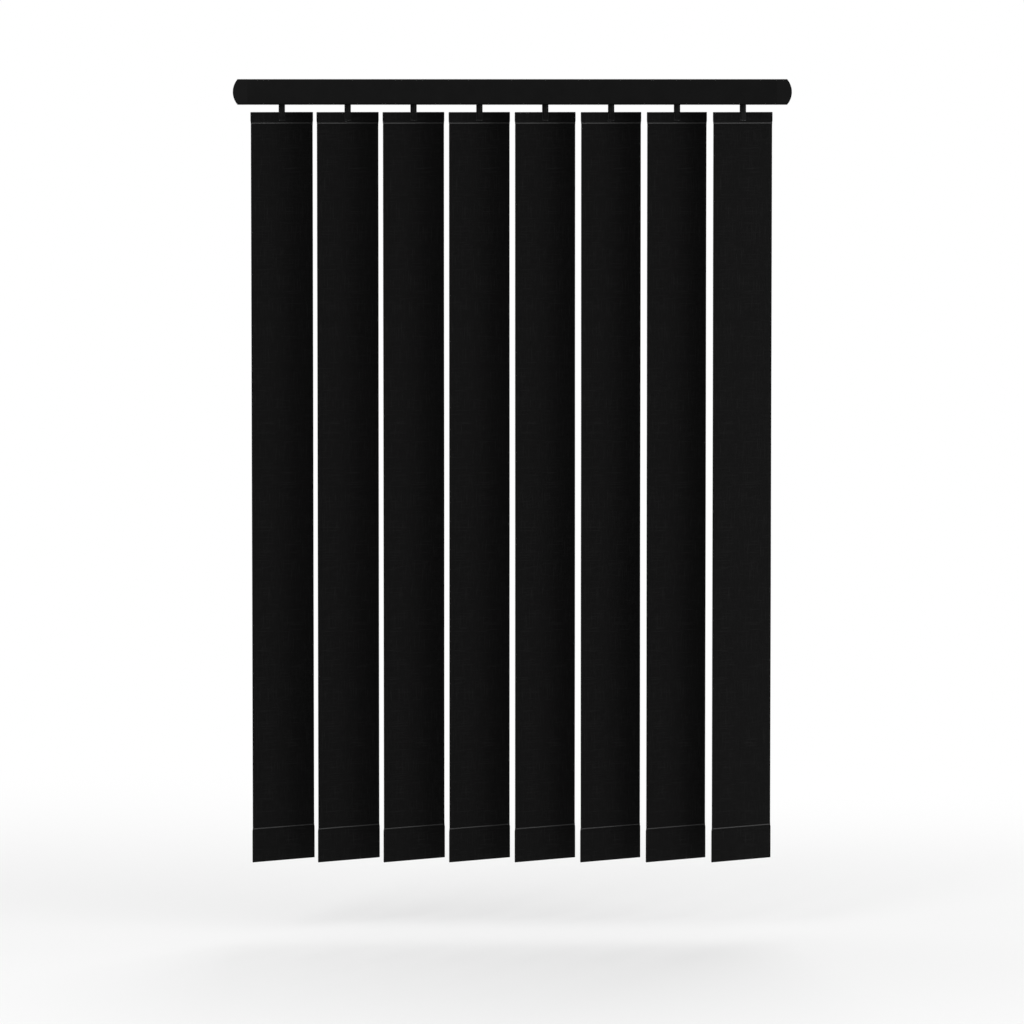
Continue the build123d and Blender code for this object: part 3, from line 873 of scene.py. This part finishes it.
# %% Worm sizes
gear_module = 0.0008
worm_lead = pi * gear_module
worm_core = 0.0031
worm_tip = 0.0046
thread_root = 0.00075
thread_tip = 0.0002
thread_turns = 2.0
thread_run_out = 0.12
worm_facets = 48
worm_rings = 120
flutes = 6
flute_tip = 0.0025
flute_root = 0.00185
worm_low, worm_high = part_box("worm_1")
worm_length = worm_high.x - worm_low.x
print(f"worm: {1000 * worm_length:.1f} mm long, {1000 * worm_lead:.2f} mm a turn")

# %% [markdown]
# ### The worm's tree
# A profile swept along a helix would still have to be joined to a core. A cylinder with radius 1, pulled
# in and out by a rule, is one closed skin from the start. A point's place along the axis, less its share
# of a turn, says how far it lies from the middle of the thread. The bore is a star, taken away from the
# solid.


# %% Build the worm tree
def worm_tree():
    tree, given = new_tree("worm", {"Length": worm_length, "Lead": worm_lead, "Core": worm_core,
                                    "Tip": worm_tip})
    start = given["Geometry"]
    screw = start.node("GeometryNodeMeshCylinder", {"fill_type": "NGON"},
                       {"Vertices": worm_facets, "Side Segments": worm_rings, "Radius": 1.0,
                        "Depth": given["Length"]})
    x, y, z = start.node("GeometryNodeInputPosition").axes()
    turned_by = z / given["Lead"] - start.maths("ARCTAN2", y, x) / (2 * pi)
    off_thread = ((turned_by + 0.5).fraction() - 0.5) * given["Lead"]
    along = (z - off_thread) / given["Lead"]
    rise = ((thread_root - off_thread.size()) / (thread_root - thread_tip)).clamped()
    rise = rise * ((thread_turns / 2 - along.size()) / thread_run_out + 1).clamped()
    radius = given["Core"] + rise * (given["Tip"] - given["Core"])
    spot = start.vector(x * radius, y * radius, z)
    screw = start.node("GeometryNodeSetPosition", None, {"Geometry": screw, "Position": spot})
    star = start.node("GeometryNodeCurveStar", None,
                      {"Points": flutes, "Inner Radius": flute_root, "Outer Radius": flute_tip})
    bore = prism(start, star, -given["Length"], given["Length"])
    worm = start.node("GeometryNodeMeshBoolean", {"operation": "DIFFERENCE", "solver": "EXACT"},
                      {"Mesh 1": screw, "Mesh 2": [bore]})
    return end_tree(tree, worm, acetal)


# The tree's axis is Z, and the rod's is X
lie_down = Matrix(((0, 0, 1), (-1, 0, 0), (0, -1, 0))).to_4x4()
repeat(grown("screw", seed_point, worm_tree(), lie_down), "worm", "screw",
       {k: sum(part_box(f"worm_{k}"), Vector()) / 2 for k in louvre_numbers})

# %% [markdown]
# ## The louvres
# A louvre is one strip of cloth. At its top it is folded back over a stiff plate and welded, and at its
# bottom over a steel weight. Seen from its edge, the strip is one line: up from the top weld, over the
# fold, down the front, under the weight and up to the bottom weld. So the line is drawn once, as a curve,
# and Geometry Nodes sweep it across the width of the cloth. A simulation would add nothing: the cloth is
# stiff, and two plates hold it flat.


# %% The strip seen from its edge
cloth_thickness = 0.0004
top_pocket = 0.0126
bottom_pocket = 0.0404
weld_height = 0.0015
pocket_taper = 0.002
pocket_ease = 0.00005
shoulder_out = 0.75
shoulder_up = 0.6
side_steps = 4
fold_steps = 8
hang_steps = 22

# Half the way between the middles of the two layers at a weld, which lie a hair apart
layer = 0.53 * cloth_thickness


def plate_half(name):
    """Half the thickness of the plate in a pocket, measured square to its width."""
    middle, _, turn = plan(name)
    across = (corners(name)[:, :2] - middle) @ (-sin(turn), cos(turn))
    return np.ptp(across) / 2


def folded_end(fold, seam, plate):
    """The line from one side of a weld, round the fold and back to the weld, as (across, height) points."""
    up = 1 if fold > seam else -1
    reach = plate + pocket_ease + cloth_thickness / 2
    centre = fold - up * (reach + cloth_thickness / 2)
    taper = seam + up * pocket_taper
    side = [(layer, seam - up * weld_height), (layer, seam),
            (reach * shoulder_out, seam + up * pocket_taper * shoulder_up), (reach, taper)]
    side += [(reach, taper + (centre - taper) * step / side_steps) for step in range(1, side_steps)]
    arc = [(reach * cos(pi * step / fold_steps), centre + up * reach * sin(pi * step / fold_steps))
           for step in range(fold_steps + 1)]
    return side + arc + [(-across, height) for across, height in reversed(side)]


def strip_line():
    """The whole strip, from the weld behind its top to the weld behind its bottom."""
    top = folded_end(louvre_high, louvre_high - top_pocket, plate_half("hanger_1"))
    bottom = folded_end(louvre_low, louvre_low + bottom_pocket, plate_half("weight_1"))
    start, end = top[-1][1] - weld_height, bottom[0][1] + weld_height
    hang = [(0.0, start + (end - start) * step / hang_steps) for step in range(hang_steps + 1)]
    return top + hang + [(-across, height) for across, height in bottom]


line = np.array(strip_line())
cloth_length = float(np.linalg.norm(np.diff(line, axis=0), axis=1).sum())
print(f"cloth strip: {1000 * louvre_width:.1f} by {1000 * cloth_length:.1f} mm flat")

# %% [markdown]
# ### The tree that sweeps the strip
# The tree takes the line as a mesh of edges, and its sizes as named inputs. It sweeps the line across the
# width, writes each point's place on the flat cloth to a UV map, cuts the notch for the hook, and lets
# the cloth wander a little between its plates: slow noise moves it forwards and backwards, and dies out
# towards both plates.

# %% Build the louvre tree
columns = 18
notch_columns = 2
notch_depth = 0.0104
wander = 0.0006
wander_across = 9.0
wander_down = 2.2


def keep_length(curve, name):
    """Keeps each point's length along its curve as an attribute."""
    length = curve.node("GeometryNodeSplineParameter", output="Length")
    return curve.node("GeometryNodeStoreNamedAttribute", {"data_type": "FLOAT", "domain": "POINT"},
                      {"Geometry": curve, "Name": name, "Value": length})


def louvre_tree():
    tree, given = new_tree("louvre", {"Width": louvre_width, "Notch Depth": notch_depth, "Top": louvre_high,
                                      "Bottom": louvre_low, "Wander": wander, "Seed": 1.0})
    edge = given["Geometry"]
    half = given["Width"] / 2
    curve = keep_length(edge.node("GeometryNodeMeshToCurve", None, {"Mesh": edge}), "down")
    width = edge.node("GeometryNodeCurvePrimitiveLine", None,
                      {"Start": edge.vector(-half), "End": edge.vector(half)})
    width = edge.node("GeometryNodeResampleCurve", None, {"Curve": width, "Count": columns + 1})
    sheet = edge.node("GeometryNodeCurveToMesh", None,
                      {"Curve": curve, "Profile Curve": keep_length(width, "across")})
    x, _, z = edge.node("GeometryNodeInputPosition").axes()
    in_notch = edge.node("FunctionNodeCompare", {"operation": "LESS_THAN"},
                         {0: x.size(), 1: half * (notch_columns / columns)})
    up_there = edge.node("FunctionNodeCompare", {"operation": "GREATER_THAN"},
                         {0: z, 1: given["Top"] - given["Notch Depth"]})
    gone = edge.node("FunctionNodeBooleanMath", {"operation": "AND"}, {0: in_notch, 1: up_there})
    sheet = edge.node("GeometryNodeDeleteGeometry", {"domain": "FACE"},
                      {"Geometry": sheet, "Selection": gone})
    share = (given["Top"] - z) / (given["Top"] - given["Bottom"])
    free = (share * pi).sine()
    sway = edge.node("ShaderNodeTexNoise", {"noise_dimensions": "4D"},
                     {"Vector": edge.vector(x * wander_across, z * wander_down), "W": given["Seed"],
                      "Scale": 1.0, "Detail": 1.0})
    push = (sway - 0.5) * free * free * 2.0 * given["Wander"]
    sheet = edge.node("GeometryNodeSetPosition", None, {"Geometry": sheet, "Offset": edge.vector(y=push)})
    spots = [edge.node("GeometryNodeInputNamedAttribute", {"data_type": "FLOAT"}, {"Name": name})
             for name in ("across", "down")]
    sheet = edge.node("GeometryNodeStoreNamedAttribute", {"data_type": "FLOAT2", "domain": "CORNER"},
                      {"Geometry": sheet, "Name": "cloth", "Value": edge.vector(*spots)})
    return end_tree(tree, sheet, cloth_finish)


cloth_tree = louvre_tree()
print("tree:", cloth_tree.name, len(cloth_tree.nodes), "nodes")

# %% [markdown]
# ### Eight strips of cloth
# The line goes in as a mesh, and each louvre gets its own seed. A Solidify modifier after the tree gives
# the strip the thickness of the cloth.

# %% Sweep the eight strips
seed_step = 3.7

strip = line_mesh("strip", [(0.0, across, height) for across, height in line])
cloths = {}
for k in louvre_numbers:
    cloth = grown(f"louvre_{k}_cloth", strip, cloth_tree, louvre_place[k], wall=cloth_thickness,
                  seed=seed_step * k)
    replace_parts(smooth(cloth), f"louvre_{k}")
    cloths[k] = cloth
print("cloths:", len(cloths), "of", len(cloths[1].data.polygons), "faces")

# %% [markdown]
# ### The welds
# The pocket is closed by a ribbed hot tool that melts the two layers together in a row of small pressed
# ribs. From a step away it is the thin grey line under the top fold and above the bottom one. That grey is
# a painted highlight in the ribs' colour. The ribs are one small form, repeated along the line on both
# sides of the cloth, so they are instances on points.

# %% Build the weld tree
rib_pitch = 0.0015
rib_width = 0.8 * rib_pitch
rib_height = 0.00012
rib_segments = 8
rib_rings = 5
rib_angle = radians(80)


def weld_tree():
    tree, given = new_tree("weld", {"Seam": louvre_width, "Pitch": rib_pitch, "Width": rib_width,
                                    "Height": weld_height, "Relief": rib_height, "Level": 0.0,
                                    "Face": layer + cloth_thickness / 2})
    start = given["Geometry"]
    count = start.maths("FLOOR", given["Seam"] / given["Pitch"])
    first_x = given["Pitch"] * (0.5 - count / 2)
    rows = [start.node("GeometryNodeMeshLine", {"mode": "OFFSET"},
                       {"Count": count, "Offset": start.vector(given["Pitch"]),
                        "Start Location": start.vector(first_x, given["Face"] * side, given["Level"])})
            for side in (-1.0, 1.0)]
    points = start.node("GeometryNodeJoinGeometry", None, {"Geometry": rows})
    rib = start.node("GeometryNodeMeshUVSphere", None,
                     {"Segments": rib_segments, "Rings": rib_rings, "Radius": 0.5})
    shape = start.vector(given["Width"], given["Relief"] * 2.0, given["Height"])
    rib = start.node("GeometryNodeTransform", None, {"Geometry": rib, "Scale": shape})
    ribs = start.node("GeometryNodeInstanceOnPoints", None, {"Points": points, "Instance": rib})
    return end_tree(tree, ribs, weld_finish)


rib_tree = weld_tree()
weld_level = {"top": louvre_high - top_pocket - weld_height / 2,
              "bottom": louvre_low + bottom_pocket + weld_height / 2}
for k in louvre_numbers:
    body = f"louvre_{k}"
    for part, level in weld_level.items():
        weld = grown(f"louvre_{k}_{part}_weld", seed_point, rib_tree, louvre_place[k], level=level)
        smooth(weld, rib_angle)
        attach(weld, body)
    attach(cloths[k], body)

# %% [markdown]
# ## The camera
# The tops of the louvres are nearly level in the photograph, so the camera stands just above them. Their
# bottom edges slope by a few pixels, although all hang at the same angle: that slope gives the distance.

# %% Place the camera
picture = 1024
focal_pixels = 6162.0
camera_distance = 7.5
camera_rise = 0.0272
camera_side = -0.0004
pitch_down = radians(3.9217)
sensor = 36.0
far_clip = 100.0

camera = show("camera", bpy.data.cameras.new("camera"))
bpy.context.scene.camera = camera
louvre_plane = float(np.mean([matrix.translation.y for matrix in louvre_place.values()]))
camera.location = (camera_side, louvre_plane - camera_distance, louvre_high + camera_rise)
camera.rotation_euler = (pi / 2 - pitch_down, 0, 0)
camera.data.sensor_width = sensor
camera.data.lens = sensor * focal_pixels / picture
camera.data.clip_end = far_clip
print(f"camera: {camera.data.lens:.1f} mm lens, {camera_distance} m away")

# %% [markdown]
# ## The floor
# The floor is plain white, and lies well below the louvres. Near the blind most of it is lit, so that it
# shows the shadow. Further out it turns to pure white, so that no horizon shows. Only the rays that
# should see the plain background get that white: the camera's own, and those by way of metal or glass.

# %% Make the floor
floor_drop = 0.09
floor_reach = 30.0
fade_start = 0.5
fade_end = 1.9
near_white = 0.35


def background_rays(graph):
    """1 for the rays that should see the plain background, and 0 for the others."""
    rays = [graph.node("ShaderNodeLightPath", output=name)
            for name in ("Is Camera Ray", "Is Glossy Ray", "Is Transmission Ray")]
    return graph.maths("MAXIMUM", graph.maths("MAXIMUM", rays[0], rays[1]), rays[2])


def white_floor():
    material, shader, graph = new_finish("white_floor", {"Base Color": grey(0.86), "Roughness": 0.9,
                                                         "Specular IOR Level": 0.1})
    x, y, _ = graph.node("ShaderNodeTexCoord", output="Object").axes()
    distance = (x * x + y * y) ** 0.5
    fade = graph.node("ShaderNodeMapRange", {"interpolation_type": "SMOOTHSTEP"},
                      {"Value": distance, "From Min": fade_start, "From Max": fade_end,
                       "To Min": near_white})
    white = graph.node("ShaderNodeEmission", None, {"Color": grey(1.0)})
    lit = Socket(graph.tree, shader.outputs[0])
    surface = graph.node("ShaderNodeMixShader", None, {0: fade * background_rays(graph), 1: lit, 2: white})
    graph.tree.links.new(surface.socket, graph.tree.nodes["Material Output"].inputs["Surface"])
    return material


floor_z = cad_box[0].z - floor_drop
floor_corners = [(x * floor_reach, y * floor_reach, floor_z)
                 for x, y in ((-1, -1), (1, -1), (1, 1), (-1, 1))]
floor_mesh = bpy.data.meshes.new("floor")
floor_mesh.from_pydata(floor_corners, [], [(0, 1, 2, 3)])
floor_mesh.materials.append(white_floor())
floor = show("floor", floor_mesh)
print("floor at", round(floor_z, 3))

# %% [markdown]
# ## The light
# Three large soft boxes and an even world light the blind at a plain level, so that a colour renders
# about as it is written. The boxes stand in front on the left, in front on the right, and behind. To the
# rays that should see the background, the world is pure white.


# %% Make the lamps and the world
plain_light = 0.55
middle = (cad_box[0] + cad_box[1]) / 2


def lamp(name, offset, width, power):
    """A square soft box that looks at the middle of the blind from an offset."""
    made = show(name, bpy.data.lights.new(name, "AREA"))
    made.data.size = width
    made.data.energy = power
    made.location = middle + Vector(offset)
    made.rotation_mode = "QUATERNION"
    made.rotation_quaternion = (-Vector(offset)).to_track_quat("-Z", "Y")


lamp("key_lamp", offset=(-1.8, -2.6, 1.6), width=1.6, power=60)
lamp("fill_lamp", offset=(2.4, -1.8, 0.4), width=1.8, power=26)
lamp("back_lamp", offset=(0.6, 2.6, 1.4), width=1.6, power=40)

world = bpy.data.worlds.new("studio")
bpy.context.scene.world = world
world.use_nodes = True
background = world.node_tree.nodes["Background"]
background.inputs["Color"].default_value = grey(1.0)
strength = background_rays(Socket(world.node_tree)).between(plain_light, 1.0)
world.node_tree.links.new(strength.socket, background.inputs["Strength"])
bpy.context.scene.view_settings.view_transform = "Standard"
print("lamps:", len(bpy.data.lights))
